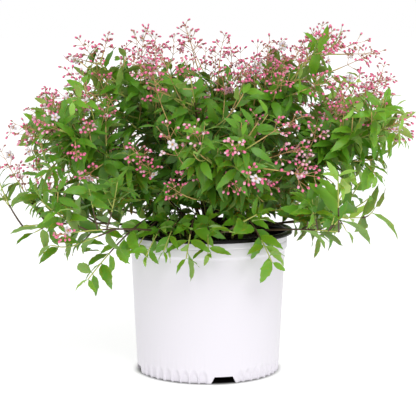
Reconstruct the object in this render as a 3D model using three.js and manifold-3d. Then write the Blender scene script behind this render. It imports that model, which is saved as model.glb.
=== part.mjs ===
// A flowering deutzia shrub growing in a white nursery pot. Millimetres, +Z up.
// The origin is the centre of the pot's flat underside, +X the viewer's right and -Y towards the viewer.
import * as THREE from "three";
import { mergeGeometries, mergeVertices } from "three/addons/utils/BufferGeometryUtils.js";
import Module from "manifold-3d";

const wasm = await Module();
wasm.setup();

// The pot: an 11 inch container with a lip and a stepped, grooved collar above a tapering wall.
const POT_SIDES = 64;
const POT_HEIGHT = 238;
const LIP_RADIUS = 140.7;
const LIP_HEIGHT = 7;
const LIP_BEVEL = 2;
const COLLAR_RADIUS = 131.6;
const COLLAR_FOOT = 207;
const GROOVE_TOP = 222;
const GROOVE_FOOT = 219;
const GROOVE_DEPTH = 0.9;
const NECK_RADIUS = 128.3;
const NECK_TOP = 204;
const FOOT_RADIUS = 118.2;
const WALL = 2;
const FLOOR = 2.6;

// The flutes round the pot's foot, and the drain notches cut into it.
const FLUTE_HEIGHT = 24;
const FLUTE_DEPTH = 2.2;
const NOTCHES = 4;
const FIRST_NOTCH = -77.6;
const NOTCH_HEIGHT = 10;
const NOTCH_FOOT = 44;
const NOTCH_TOP = 30;
const NOTCH_REACH = 17;

// The potting mix inside the pot, a little higher round the stems than at the wall.
const MIX_LEVEL = 213;
const MIX_RISE = 4;
const MIX_SIDES = 24;

// The space left between two pieces that touch, and the finest detail kept where pieces join.
const SEAT = 0.3;
const FINEST = 0.12;

// The low knob of wood at ground level that the stems spring from.
const KNOB_RADIUS = 27;
const KNOB_SIDES = 24;
const KNOB_RINGS = 6;
const HEART = new THREE.Vector3(0, 0, MIX_LEVEL + MIX_RISE + SEAT);

// How far the crown reaches from its heart, every 15 degrees from the right over the top to the left.
const OUTLINE_STEP = 15;
const OUTLINE = [338, 356, 402, 442, 425, 356, 362, 388, 390, 397, 394, 368, 345];
const CROWN_DEPTH = 345;

// The lowest the foliage hangs: free of the pot at the sides, and above the lip before and behind.
const HANG_SIDE = 178;
const HANG_LIP = 241;
const HANG_SLOPE = 0.15;

// Rings of stems, from the arching skirt to the upright middle. A stem starts at the angle rise above level
// and is aimed at the angle height, to which lift is added before and behind. The foliage starts at the share
// bare of its path, and has leaves and shoots at so many nodes.
const RINGS = [
  { name: "skirt", count: 8, turn: 7, rise: 15, height: 4, lift: 6, bare: 0.32, nodes: 5, leaf: 138 },
  { name: "shoulder", count: 6, turn: 37, rise: 43, height: 34, lift: 0, bare: 0.34, nodes: 6, leaf: 135 },
  { name: "upper", count: 5, turn: 45, rise: 70, height: 59, lift: 0, bare: 0.4, nodes: 4, leaf: 121 },
  { name: "middle", count: 1, turn: 0, rise: 89, height: 88, lift: 0, bare: 0.46, nodes: 4, leaf: 122 },
];
const TURN_JITTER = 3;
const HEIGHT_JITTER = 1.5;
const STEM_RADII = [3.3, 2.1];
const STEM_STEPS = 4;
const STEM_SIDES = 5;
const AXIS_TIP_RADIUS = 0.9;
const AXIS_SHARE = 0.9;
const RING_SEED = 1023;
const MASS_SEED = 251;

// Young shoots that spring from the potting mix and hang over the pot's lip, to a radius and a height.
const RIM_SHOOTS = [
  { turn: 217, reach: 236, drop: 176 },
  { turn: 259, reach: 176, drop: 214 },
  { turn: 302, reach: 188, drop: 206 },
];
const RIM_FOOT = 74;
const RIM_TOP = 336;
const RIM_SIZES = { bare: 0.52, nodes: 3, leaf: 58, flowers: false };
const RIM_RADII = [2.1, 1.7];
const RIM_STEPS = 3;
const RIM_SEED = 900;

// Leaves, larger than life so that fewer of them fill the crown. Sizes are shares of a leaf's length.
const LEAF_WIDTH = 0.42;
const LEAF_THICKNESS = 0.02;
const LEAF_WAIST = 0.44;
const LEAF_FOLD = 0.05;
const LEAF_DROOP = 0.14;
const LEAF_SIZES = [0.85, 1.05];
const LEAF_LEAN = 0.55;
const LEAF_TILT = [0.2, 1];
const LEAF_TRIES = 9;
const LEAF_SWING = 100;
const LEAF_SHRINK = 0.6;

// Twigs and side shoots. The pair of leaves and the flower spray stand at shares of the shoot's path.
const TWIG_SIDES = 3;
const SHOOT_LENGTH = 120;
const SHOOT_SIZES = [0.8, 1.1];
const SHOOT_RADII = [1.7, 0.9];
const SHOOT_STEPS = 2;
const SHOOT_RISE = 1.1;
const SHOOT_TURN = 0.55;
const SHOOT_PAIR = 0.45;
const SHOOT_SPRAY = [0.78, 0.98];
const SHOOT_TRIES = 8;
const SHOOT_SWING = 60;
const SHOOT_SHRINK = 0.55;

// Flower buds, with the place of the spray that ends a mass's own axis.
const AXIS_SPRAY = [0.94, 0.995];
const SPRAY_BUDS = 2;
const BUD_LENGTH = 18;
const BUD_RADIUS = 4;
const BUD_WAIST = 0.7;
const BUD_LEAN = [0.4, 0.9];
const BUD_TRIES = 3;
const GOLDEN_TURN = 137.5;

// The most that two pieces of one mass may run through each other, in cubic millimetres.
const CROSSING = 2;

const { degToRad, lerp, radToDeg } = THREE.MathUtils;
const UP = new THREE.Vector3(0, 0, 1);

const FINISH = {
  pot: new THREE.MeshStandardMaterial({ color: 0xf1f0f4, roughness: 0.42, metalness: 0 }),
  mix: new THREE.MeshStandardMaterial({ color: 0x2e241b, roughness: 0.95, metalness: 0 }),
  wood: new THREE.MeshStandardMaterial({ color: 0x4b3a30, roughness: 0.8, metalness: 0 }),
  shoot: new THREE.MeshStandardMaterial({ color: 0x8b9440, roughness: 0.6, metalness: 0 }),
  foliage: new THREE.MeshStandardMaterial({ color: 0x4f7d24, roughness: 0.5, metalness: 0 }),
};

/** A repeatable stream of numbers from 0 to 1. */
function dice(seed) {
  let state = seed >>> 0;
  return () => {
    state = (state + 0x6d2b79f5) >>> 0;
    let t = state;
    t = Math.imul(t ^ (t >>> 15), t | 1);
    t ^= t + Math.imul(t ^ (t >>> 7), t | 61);
    return ((t ^ (t >>> 14)) >>> 0) / 4294967296;
  };
}

/** The unit direction at a turn round +Z from +X and a height above level, in degrees. */
function heading(turn, height) {
  const [a, h] = [degToRad(turn), degToRad(height)];
  return new THREE.Vector3(Math.cos(a) * Math.cos(h), Math.sin(a) * Math.cos(h), Math.sin(h));
}

/** A closed geometry as a solid that can be joined and cut. */
function solidOf(geometry) {
  const bare = geometry.index ? geometry.toNonIndexed() : geometry.clone();
  for (const name of Object.keys(bare.attributes)) {
    if (name !== "position") bare.deleteAttribute(name);
  }
  const merged = mergeVertices(bare, 1e-4);
  const corners = merged.index.array;
  const faces = [];
  for (let i = 0; i < corners.length; i += 3) {
    const [a, b, c] = corners.slice(i, i + 3);
    if (a !== b && b !== c && c !== a) faces.push(a, b, c);
  }
  const vertProperties = merged.attributes.position.array;
  return new wasm.Manifold(new wasm.Mesh({ numProp: 3, vertProperties, triVerts: new Uint32Array(faces) }));
}

/** A copy of a geometry with every corner moved by a function. */
function reshaped(geometry, move) {
  const copy = geometry.clone();
  const position = copy.attributes.position;
  const corner = new THREE.Vector3();
  for (let i = 0; i < position.count; i++) {
    const { x, y, z } = move(corner.fromBufferAttribute(position, i));
    position.setXYZ(i, x, y, z);
  }
  return copy;
}

/** A named mesh that shows a solid. */
function meshOf(name, solid, material) {
  const { vertProperties, triVerts } = solid.getMesh();
  const geometry = new THREE.BufferGeometry();
  geometry.setAttribute("position", new THREE.BufferAttribute(vertProperties, 3));
  geometry.setIndex(new THREE.BufferAttribute(triVerts, 1));
  geometry.computeVertexNormals();
  const mesh = new THREE.Mesh(geometry, material);
  mesh.name = name;
  return mesh;
}

/** Many solids joined into one body. Loose scraps go, and so do the hollows sealed by joining. */
function joined(solids) {
  const whole = solids.reduce((all, solid) => all.add(solid)).asOriginal().simplify(FINEST);
  return whole.decompose().reduce((best, piece) => (piece.volume() > best.volume() ? piece : best));
}

/** A profile of [radius, height] pairs turned round +Z. */
function turned(profile, sides) {
  const lathe = new THREE.LatheGeometry(profile.map(([r, z]) => new THREE.Vector2(r, z)), sides);
  return lathe.rotateX(Math.PI / 2);
}

/** The outside radius of the pot's wall at a height below the collar. */
function wallOutside(z) {
  return lerp(FOOT_RADIUS, NECK_RADIUS, z / NECK_TOP);
}

/** The inside radius of the pot's wall at a height below the collar. */
function wallInside(z) {
  return lerp(FOOT_RADIUS - FLUTE_DEPTH - WALL, NECK_RADIUS - WALL, (z - FLOOR) / (NECK_TOP - FLOOR));
}

/** The pot: a turned profile, up the outside, over the lip and down the inside. */
function makePot() {
  const lipFoot = POT_HEIGHT - LIP_HEIGHT;
  const profile = [
    [0, 0],
    [FOOT_RADIUS, 0],
    [wallOutside(FLUTE_HEIGHT), FLUTE_HEIGHT],
    [NECK_RADIUS, NECK_TOP],
    [COLLAR_RADIUS, COLLAR_FOOT],
    [COLLAR_RADIUS, GROOVE_FOOT],
    [COLLAR_RADIUS - GROOVE_DEPTH, (GROOVE_FOOT + GROOVE_TOP) / 2],
    [COLLAR_RADIUS, GROOVE_TOP],
    [COLLAR_RADIUS, lipFoot],
    [LIP_RADIUS, lipFoot],
    [LIP_RADIUS, POT_HEIGHT - LIP_BEVEL],
    [LIP_RADIUS - LIP_BEVEL, POT_HEIGHT],
    [COLLAR_RADIUS - WALL, POT_HEIGHT],
    [wallInside(NECK_TOP), NECK_TOP],
    [wallInside(FLOOR), FLOOR],
    [0, FLOOR],
  ];
  const lathe = turned(profile, POT_SIDES);
  fluteFoot(lathe);
  let pot = solidOf(lathe);
  for (let i = 0; i < NOTCHES; i++) {
    pot = pot.subtract(solidOf(drainNotch(FIRST_NOTCH + (i * 360) / NOTCHES)));
  }
  return pot;
}

/** Draws every second corner of the outside wall's foot inwards, so that the foot is fluted. */
function fluteFoot(lathe) {
  const position = lathe.attributes.position;
  for (let i = 0; i < position.count; i++) {
    const [x, y, z] = [position.getX(i), position.getY(i), position.getZ(i)];
    const radius = Math.hypot(x, y);
    const place = Math.round(((Math.atan2(y, x) / (2 * Math.PI)) * POT_SIDES + POT_SIDES) % POT_SIDES);
    const isFoot = radius > FOOT_RADIUS - FLUTE_DEPTH && z < FLUTE_HEIGHT / 2;
    if (isFoot && place % 2 === 1) {
      const drawnIn = (radius - FLUTE_DEPTH) / radius;
      position.setXYZ(i, x * drawnIn, y * drawnIn, z);
    }
  }
}

/** The block cut out of the pot's foot for one drain notch. */
function drainNotch(turn) {
  const half = [NOTCH_FOOT / 2, NOTCH_TOP / 2];
  const outline = new THREE.Shape([
    new THREE.Vector2(-half[0], -1),
    new THREE.Vector2(half[0], -1),
    new THREE.Vector2(half[1], NOTCH_HEIGHT),
    new THREE.Vector2(-half[1], NOTCH_HEIGHT),
  ]);
  const block = new THREE.ExtrudeGeometry(outline, { depth: 2 * NOTCH_REACH, bevelEnabled: false });
  block.rotateX(Math.PI / 2).translate(0, FOOT_RADIUS + NOTCH_REACH, 0);
  return block.rotateZ(degToRad(turn - 90));
}

/** The potting mix, cut back at the drain notches, with its top level where the rim shoots grow. */
function makeMix() {
  const wallGap = 2 * SEAT;
  return solidOf(turned([
    [0, FLOOR + SEAT],
    [FOOT_RADIUS - 2 * NOTCH_REACH, FLOOR + SEAT],
    [FOOT_RADIUS - NOTCH_REACH, NOTCH_HEIGHT + NOTCH_REACH / 3],
    [wallInside(FLUTE_HEIGHT) - wallGap, FLUTE_HEIGHT],
    [wallInside(NECK_TOP) - wallGap, NECK_TOP],
    [wallInside(NECK_TOP) - wallGap, MIX_LEVEL],
    [RIM_FOOT - 2 * RIM_RADII[0], MIX_LEVEL],
    [KNOB_RADIUS + WALL, MIX_LEVEL + MIX_RISE],
    [0, MIX_LEVEL + MIX_RISE],
  ], MIX_SIDES));
}

/** The root knob: a dome closed by a flat underside. */
function makeKnob() {
  const dome = new THREE.SphereGeometry(KNOB_RADIUS, KNOB_SIDES, KNOB_RINGS, 0, 2 * Math.PI, 0, Math.PI / 2);
  const base = new THREE.CircleGeometry(KNOB_RADIUS, KNOB_SIDES);
  const closed = mergeGeometries([dome.rotateX(Math.PI / 2), base.rotateX(Math.PI)]);
  return solidOf(closed.translate(HEART.x, HEART.y, HEART.z));
}

/** How far the crown reaches from its heart in a unit direction. */
function crownReach(direction) {
  const turn = radToDeg(Math.atan2(Math.max(direction.z, 0), direction.x)) / OUTLINE_STEP;
  const i = Math.min(Math.floor(turn), OUTLINE.length - 2);
  const sideways = lerp(OUTLINE[i], OUTLINE[i + 1], turn - i);
  return 1 / Math.hypot(Math.hypot(direction.x, direction.z) / sideways, direction.y / CROWN_DEPTH);
}

/** The lowest height that the foliage of a ring's stem may hang to at a point. */
function lowestHang({ x, y }) {
  const radius = Math.max(Math.hypot(x, y), 1);
  return lerp(HANG_SIDE, HANG_LIP + HANG_SLOPE * (radius - LIP_RADIUS), (y / radius) ** 2);
}

/** Every stem of the rings: its name, its aim, its path and the sizes of what grows on it. */
function ringStems() {
  const stems = [];
  RINGS.forEach((ring, r) => {
    const roll = dice(RING_SEED + r);
    const jitter = (most) => lerp(-most, most, roll());
    for (let i = 0; i < ring.count; i++) {
      const turn = ring.turn + (i * 360) / ring.count + jitter(TURN_JITTER);
      const height = ring.height + ring.lift * Math.sin(degToRad(turn)) ** 2 + jitter(HEIGHT_JITTER);
      const aim = heading(turn, height);
      const foot = heading(turn, ring.rise).multiplyScalar(KNOB_RADIUS + SEAT).add(HEART);
      const tip = aim.clone().multiplyScalar(crownReach(aim) * AXIS_SHARE).add(HEART);
      const bend = heading(turn, ring.rise).multiplyScalar(foot.distanceTo(tip) / 2).add(foot);
      const name = ring.count > 1 ? `${ring.name}_${i + 1}` : ring.name;
      const path = new THREE.QuadraticBezierCurve3(foot, bend, tip);
      stems.push({ ...ring, name, aim, path, seed: MASS_SEED + 100 * r + i, flowers: true });
    }
  });
  return stems;
}

/** The young shoots that rise from the mix and hang over the lip, described as the ring stems are. */
function rimShoots() {
  return RIM_SHOOTS.map(({ turn, reach, drop }, i) => {
    const at = (radius, z) => heading(turn, 0).multiplyScalar(radius).setZ(z);
    const [foot, bend, tip] = [at(RIM_FOOT, MIX_LEVEL + SEAT), at(RIM_FOOT, RIM_TOP), at(reach, drop)];
    const path = new THREE.QuadraticBezierCurve3(foot, bend, tip);
    return { ...RIM_SIZES, name: `rim_${i + 1}`, path, seed: RIM_SEED + i };
  });
}

/** A closed tapering limb along part of a path: a cylinder bent to it, with ends square to it. */
function limb(path, from, to, radii, sides, steps) {
  const cylinder = new THREE.CylinderGeometry(radii[1], radii[0], 1, sides, steps);
  return solidOf(reshaped(cylinder, ({ x, y, z }) => {
    const t = lerp(from, to, y + 0.5);
    const { across, over } = axesOf(path.getTangent(t));
    return path.getPoint(t).addScaledVector(across, -x).addScaledVector(over, z);
  }));
}

/** The twig that carries on from a bare stem through its mass of foliage. */
function massAxis({ path, bare, nodes }) {
  const start = bare + SEAT / path.getLength();
  return { start, path, solid: limb(path, start, 1, [STEM_RADII[1], AXIS_TIP_RADIUS], TWIG_SIDES, nodes) };
}

/** The three axes of a direction: along it, across it, and over it, as near to a face's normal as can be. */
function axesOf(direction, face = UP) {
  const along = direction.clone().normalize();
  const across = new THREE.Vector3().crossVectors(face, along);
  if (across.length() < 1e-3) across.set(0, 1, 0);
  across.normalize();
  return { along, across, over: new THREE.Vector3().crossVectors(along, across) };
}

/** A direction that points out from a twig at a turn round it, and leans forward along it. */
function leaning({ along, across, over }, turn, forward) {
  const a = degToRad(turn);
  const out = across.clone().multiplyScalar(Math.cos(a)).addScaledVector(over, Math.sin(a));
  return out.addScaledVector(along, forward);
}

/** A leaf one unit long along +X: eight faces, folded up along its midrib, with a drooping tip. */
const BLADE = reshaped(new THREE.OctahedronGeometry(1), ({ x, y, z }) => new THREE.Vector3(
  x === 0 ? LEAF_WAIST : Math.max(x, 0),
  (y * LEAF_WIDTH) / 2,
  (z * LEAF_THICKNESS) / 2 + Math.abs(y) * LEAF_FOLD - Math.max(x, 0) * LEAF_DROOP,
));

/** A bud and its stalk as one drop of eight faces along +X. */
const DROP = reshaped(new THREE.OctahedronGeometry(1), ({ x, y, z }) => new THREE.Vector3(
  x === 0 ? BUD_WAIST * BUD_LENGTH : Math.max(x, 0) * BUD_LENGTH,
  y * BUD_RADIUS,
  z * BUD_RADIUS,
));

/** A shape along +X as a solid at a root, turned to a direction and a face's normal, and scaled. */
function grown(shape, root, direction, face, scale = 1) {
  const { along, across, over } = axesOf(direction, face);
  const place = new THREE.Matrix4().makeBasis(along, across, over).setPosition(root);
  return solidOf(shape.clone().scale(scale, scale, scale).applyMatrix4(place));
}

/** Whether two solids' boxes come within a distance of each other. */
function isNear(a, b, distance) {
  const [one, other] = [a.boundingBox(), b.boundingBox()];
  const reaches = (from, to, i) => from.min[i] - distance <= to.max[i];
  return [0, 1, 2].every((i) => reaches(one, other, i) && reaches(other, one, i));
}

/** One mass of foliage: twigs, leaves and flower sprays grown on a stem's axis, in a space of its own. */
class Foliage {
  constructor(stem, rivals, others) {
    this.stem = stem;
    this.walls = rivals.map((rival) => stem.aim.clone().sub(rival.aim).normalize());
    this.others = others;
    this.roll = dice(stem.seed);
    this.pieces = [];
  }

  /** A number between two limits. */
  between(least, most) {
    return lerp(least, most, this.roll());
  }

  /** Whether a point is in the mass's own space. */
  holds(point) {
    if (!this.stem.aim) return true;
    const out = point.clone().sub(HEART);
    const isInside = out.length() <= crownReach(out.clone().normalize()) && point.z >= lowestHang(point);
    return isInside && this.walls.every((wall) => out.dot(wall) >= SEAT);
  }

  /** Whether a piece keeps to the space, clears what stands there and crosses only the twig that bears it. */
  fits(solid, bearer) {
    const { vertProperties } = solid.getMesh();
    for (let i = 0; i < vertProperties.length; i += 3) {
      if (!this.holds(new THREE.Vector3().fromArray(vertProperties, i))) return false;
    }
    const isClear = (other) => !isNear(solid, other, SEAT) || solid.minGap(other, SEAT) >= SEAT;
    const isApart = (piece) => !isNear(solid, piece, 0) || solid.intersect(piece).volume() < CROSSING;
    return this.others.every(isClear) && this.pieces.every((piece) => piece === bearer || isApart(piece));
  }

  /** Keeps the first piece that fits of those offered. An offer is told how far the tries have got. */
  add(bearer, tries, offer) {
    for (let i = 0; i < tries; i++) {
      const { solid, path } = offer(i / tries);
      if (this.fits(solid, bearer)) {
        this.pieces.push(solid);
        return { solid, path };
      }
    }
    return null;
  }

  /** A side shoot that turns upwards. Later tries are shorter and turn less. */
  shoot(bearer, root, axes, turn) {
    const length = SHOOT_LENGTH * this.between(...SHOOT_SIZES);
    return this.add(bearer, SHOOT_TRIES, (tried) => {
      const start = leaning(axes, turn + SHOOT_SWING * tried * this.between(-1, 1), 1).normalize();
      start.addScaledVector(UP, SHOOT_RISE * (1 - tried)).normalize();
      const end = start.clone().lerp(UP, SHOOT_TURN * (1 - tried)).normalize();
      const half = (length / 2) * lerp(1, SHOOT_SHRINK, tried);
      const bend = root.clone().addScaledVector(start, half);
      const path = new THREE.QuadraticBezierCurve3(root, bend, bend.clone().addScaledVector(end, half));
      return { solid: limb(path, 0, 1, SHOOT_RADII, TWIG_SIDES, SHOOT_STEPS), path };
    });
  }

  /** A leaf that spreads from a twig with its face outwards. Later tries are smaller and turned further. */
  leaf(bearer, root, axes, turn) {
    const length = this.stem.leaf * this.between(...LEAF_SIZES);
    this.add(bearer, LEAF_TRIES, (tried) => {
      const face = root.clone().setZ(0).normalize().addScaledVector(UP, this.between(...LEAF_TILT));
      const swung = turn + LEAF_SWING * tried * this.between(-1, 1);
      const direction = leaning(axes, swung, LEAF_LEAN + tried * this.roll());
      return { solid: grown(BLADE, root, direction, face, length * lerp(1, LEAF_SHRINK, tried)) };
    });
  }

  /** A flower spray: buds set round the end of a twig. */
  spray({ solid, path }, from, to) {
    for (let i = 0; i < SPRAY_BUDS; i++) {
      const t = lerp(from, to, i / (SPRAY_BUDS - 1));
      const axes = axesOf(path.getTangent(t));
      this.add(solid, BUD_TRIES, (tried) => {
        const turn = GOLDEN_TURN * i + 360 * this.roll();
        const direction = leaning(axes, turn, this.between(...BUD_LEAN) + tried);
        return { solid: grown(DROP, path.getPoint(t), direction, UP) };
      });
    }
  }

  /** The whole mass as one solid: crossed pairs of leaves along the axis, and a shoot with leaves at each. */
  grow() {
    const { nodes, flowers } = this.stem;
    const axis = massAxis(this.stem);
    const { start, path } = axis;
    this.pieces.push(axis.solid);
    const first = this.between(0, 90);
    const joints = [...Array(nodes).keys()].map((k) => {
      const t = lerp(start, 1, (k + 0.5) / nodes);
      return { root: path.getPoint(t), axes: axesOf(path.getTangent(t)), turn: first + 90 * k };
    });
    const shoots = joints
      .map(({ root, axes, turn }, k) => this.shoot(axis.solid, root, axes, turn + 180 * (k % 2)))
      .filter((shoot) => shoot);
    for (const shoot of shoots) {
      const axes = axesOf(shoot.path.getTangent(SHOOT_PAIR));
      for (const turn of [0, 180]) this.leaf(shoot.solid, shoot.path.getPoint(SHOOT_PAIR), axes, turn);
    }
    for (const { root, axes, turn } of joints) {
      for (const side of [0, 180]) this.leaf(axis.solid, root, axes, turn + side);
    }
    if (flowers) {
      for (const shoot of shoots) this.spray(shoot, ...SHOOT_SPRAY);
      this.spray(axis, ...AXIS_SPRAY);
    }
    return joined(this.pieces);
  }
}

const plant = new THREE.Group();
const [pot, mix, knob] = [makePot(), makeMix(), makeKnob()];
plant.add(meshOf("pot", pot, FINISH.pot));
plant.add(meshOf("potting_mix", mix, FINISH.mix));
plant.add(meshOf("root_knob", knob, FINISH.wood));

const [shoots, stems] = [rimShoots(), ringStems()];
const limbs = [pot, mix, knob];
for (const { name, path, bare } of stems) {
  const solid = limb(path, 0, bare, STEM_RADII, STEM_SIDES, STEM_STEPS);
  limbs.push(solid);
  plant.add(meshOf(`${name}_stem`, solid, FINISH.wood));
}
for (const { name, path, bare } of shoots) {
  const solid = limb(path, 0, bare, RIM_RADII, STEM_SIDES, RIM_STEPS);
  limbs.push(solid);
  plant.add(meshOf(`${name}_stem`, solid, FINISH.shoot));
}

const kept = [...limbs, ...stems.map((stem) => massAxis(stem).solid)];
const hanging = shoots.map((shoot) => new Foliage(shoot, [], kept).grow());
hanging.forEach((mass, i) => plant.add(meshOf(`${shoots[i].name}_foliage`, mass, FINISH.foliage)));
for (const stem of stems) {
  const rivals = stems.filter((other) => other !== stem);
  const mass = new Foliage(stem, rivals, [...limbs, ...hanging]).grow();
  plant.add(meshOf(`${stem.name}_foliage`, mass, FINISH.foliage));
}

export default plant;
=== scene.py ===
"""A potted deutzia in flower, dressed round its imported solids.

Lengths are in millimetres until a mesh is made. Those of the studio are in metres.
"""

import math
from functools import lru_cache

import bpy
import numpy as np
from mathutils import Matrix, Vector, kdtree, noise


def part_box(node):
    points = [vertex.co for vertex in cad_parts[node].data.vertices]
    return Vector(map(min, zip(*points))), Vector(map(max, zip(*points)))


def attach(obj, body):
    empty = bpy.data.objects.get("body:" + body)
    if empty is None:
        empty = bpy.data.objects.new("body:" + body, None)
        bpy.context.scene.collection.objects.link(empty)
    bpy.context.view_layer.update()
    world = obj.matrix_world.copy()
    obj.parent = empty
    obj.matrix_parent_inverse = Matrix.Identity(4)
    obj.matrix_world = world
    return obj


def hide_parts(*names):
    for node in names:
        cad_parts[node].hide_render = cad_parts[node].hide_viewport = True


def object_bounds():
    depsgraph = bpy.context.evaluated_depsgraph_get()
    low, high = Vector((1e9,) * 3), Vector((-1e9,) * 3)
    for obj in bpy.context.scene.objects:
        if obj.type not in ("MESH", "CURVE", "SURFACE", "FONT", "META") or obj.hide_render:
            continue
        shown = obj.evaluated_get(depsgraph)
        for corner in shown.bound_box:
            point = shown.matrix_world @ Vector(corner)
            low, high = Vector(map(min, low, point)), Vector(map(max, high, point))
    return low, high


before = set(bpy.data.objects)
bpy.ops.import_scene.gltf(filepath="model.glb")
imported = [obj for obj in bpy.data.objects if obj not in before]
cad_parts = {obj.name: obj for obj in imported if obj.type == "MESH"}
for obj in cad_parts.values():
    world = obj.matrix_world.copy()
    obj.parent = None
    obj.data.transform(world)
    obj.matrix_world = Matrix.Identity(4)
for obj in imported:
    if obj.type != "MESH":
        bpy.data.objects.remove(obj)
CAD_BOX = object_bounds()

bl_info = {
    "name": "Potted Deutzia",
    "version": (1, 0, 0),
    "blender": (4, 5, 0),
    "location": "3D View > Sidebar > Deutzia",
    "description": "Grows the shrub and moulds the pot round the packed solids",
    "category": "Object",
}

MM = 0.001
UP = Vector((0, 0, 1))
BODY = "root"

# The pot, as its solid is, with the finer forms of its lip, collar and foot.
POT_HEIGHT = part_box("pot")[1][2] / MM
LIP_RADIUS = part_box("pot")[1][0] / MM
LIP_HEIGHT = 7
LIP_WIDTH = 10.5
COLLAR_RADIUS = LIP_RADIUS - 9.1
COLLAR_FOOT = 207
GROOVE_HEIGHT = 220.5
GROOVE_WIDTH = 3
NECK_RADIUS = 128.3
NECK_TOP = 204
FOOT_RADIUS = 118.2
WALL = 2
FLOOR = 2.6
POT_SIDES = 576
POT_CREASE = 34

# Round the pot's foot: arched flutes, and drain notches that are wider below than above. The flutes deepen
# inwards from their edges and tops, and between two turns away from the middle of a notch.
FLUTES = 48
FLUTE_HEIGHT = 24
FLUTE_EDGE = 0.35
FLUTE_TOP = 8
FLUTE_START = (11, 15)
NOTCHES = 4
FIRST_NOTCH = -77.6
NOTCH_HEIGHT = 12
NOTCH_FOOT = 44
NOTCH_TOP = 30
NOTCH_REACH = 17

# The potting mix and the heart of the shrub, where the stems spring from. Each wave of the mix's top has a
# width, a layer of the noise and a height.
MIX_LEVEL = 213
MIX_RISE = 4
MIX_LUMPS = 3.4
MIX_SLOPE = (70, 30)
MIX_WAVES = ((26, 0, 2.4), (7, 9, 1.5), (3, 5, 0.7))
MIX_RADIUS = 125.4
MIX_FOOT = 14
MIX_FOOT_RADIUS = 114
GAP = 0.3
KNOB_RADIUS = 27
HEART = Vector((0, 0, MIX_LEVEL + MIX_RISE + GAP))

# How far the shrub reaches from its heart, every 15 degrees from the right over the top to the left, and from
# front to back. Then how low it hangs: at its sides, and over the lip before and behind, rising outwards.
OUTLINE_STEP = 15
OUTLINE = (338, 356, 402, 442, 425, 356, 362, 388, 390, 397, 394, 368, 345)
DEPTH = 345
HANG_SIDE = 178
HANG_LIP = 241
HANG_SLOPE = 0.15

# Rings of stems: how many, the first turn, the rise at the foot, the height aimed at, the lift before and
# behind, and the bare share of the path.
RINGS = (
    ("skirt", 8, 7, 15, 4, 6, 0.32),
    ("shoulder", 6, 37, 43, 34, 0, 0.34),
    ("upper", 5, 45, 70, 59, 0, 0.4),
    ("middle", 1, 0, 89, 88, 0, 0.46),
)

# How shoots grow on each kind of stem: the chances that one flowers and that it droops, the distance between
# its pairs of leaves, and the leaves' sizes.
GROWTH = {
    "skirt": (0.42, 0.2, 22, (40, 62)),
    "shoulder": (0.8, 0.3, 18, (34, 56)),
    "upper": (0.9, 0, 18, (34, 56)),
    "middle": (0.9, 0, 18, (34, 56)),
    "rim": (0, 0, 16, (36, 56)),
    "spray": (0, 0, 15, (26, 40)),
}

# Stems: how far their turns and heights stray, their seeds, the share of the shrub's reach that they take,
# their radii, and how far leaves and twigs keep from their middles.
TURN_JITTER = 3
HEIGHT_JITTER = 1.5
RING_SEED = 1023
TWIG_SEED = 280
AXIS_SHARE = 0.9
STEM_RADII = (3.3, 2.1)
STEM_ROOM = 4.5

# Stems that rise from the mix near the pot's edge and hang over the lip: young shoots, and slighter sprays
# between them that the solids leave out. For each kind: the turn, reach and height of the tips, the reach and
# height of the bend, the bare share of the path, the radii at its ends and the first seed.
RIM_FOOT = 74
OVER_LIP = {
    "rim": (((217, 236, 176), (259, 176, 214), (302, 188, 206)), (RIM_FOOT, 336), 0.52, (2.1, 1.7), 900),
    "spray": (((226, 164, 219), (235, 170, 212), (245, 164, 221), (270, 166, 220)), (RIM_FOOT + 15, 311),
              0.4, (1.4, 1.1), 950),
}

# Twigs: the distance between nodes, the sizes of shoots, and how shoots rise, turn and shrink as they are
# tried again. Far out at the sides a shorter shoot is tried where a longer one finds no room.
AXIS_NODE = 19
AXIS_TIP = 0.9
INNER_NODE = 13
INNER_LENGTH = (60, 155)
SHOOT_LENGTH = 150
SHOOT_SIZES = (0.5, 1.1)
SHOOT_RADII = ((1.5, 0.85), (1.0, 0.65))
SHOOT_LEAN = (0.3, 1)
SHOOT_RISE = 1.3
SHOOT_SINK = 0.3
SHOOT_TURN = 0.55
SHOOT_DROOP = 0.3
SHOOT_TRIES = 14
SHOOT_SWING = 85
SHOOT_SHRINK = 0.5
SHORT_SHOOT = 45
SHORT_SIZES = (0.7, 1.3)
SHORT_CLUSTER = 30
SHORT_SIDE = 160
SPUR_LENGTH = 52
SPUR_SIZES = (0.8, 1.2)
SPUR_CHANCE = 0.6
SPUR_BLOOM = 0.36
LEAFY_SHARE = 0.57

# The room that a leafy tip needs ahead of it, on each kind of shoot, and what any tip needs besides.
SHOOT_AHEAD = 20
SHORT_AHEAD = 8
SPUR_AHEAD = 12
INNER_AHEAD = 10
TIP_AHEAD = 6

# What a millimetre further out is worth to a shoot, in leaves about it, and the cells they are counted in.
OUTWARD = 0.03
CROWD_CELL = 38

# Leaves. A blade's thickness, its stalk's length and its sag are shares of its length. It leans forward along
# its twig, falls or rises a little, and faces out and up by so much. Sizes vary, and leaves are smaller on
# spurs and at tips. Later tries swing and shrink.
LEAF_SHAPES = 8
LEAF_TEETH = 4
LEAF_THICKNESS = 0.008
PETIOLE = 0.07
CREASE = 40
LEAF_LEAN = (0.35, 0.9)
LEAF_FALL = (-0.3, 0.5)
LEAF_SAG = 0.12
LEAF_WIDTHS = (0.9, 1.2)
LEAF_SIZES = (0.85, 1.1)
SPUR_LEAF = 0.85
TIP_LEAF = 0.8
FACE_OUT = 0.6
FACE_UP = (0.2, 1.1)
LEAF_TRIES = 6
LEAF_SWING = 60
LEAF_SHRINK = 0.65

# How far past the walls of its space a leaf may stand, and any twig or leaf past the solids' box.
LEAF_SLACK = 9
PROUD = (8, 2, 6)

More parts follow.
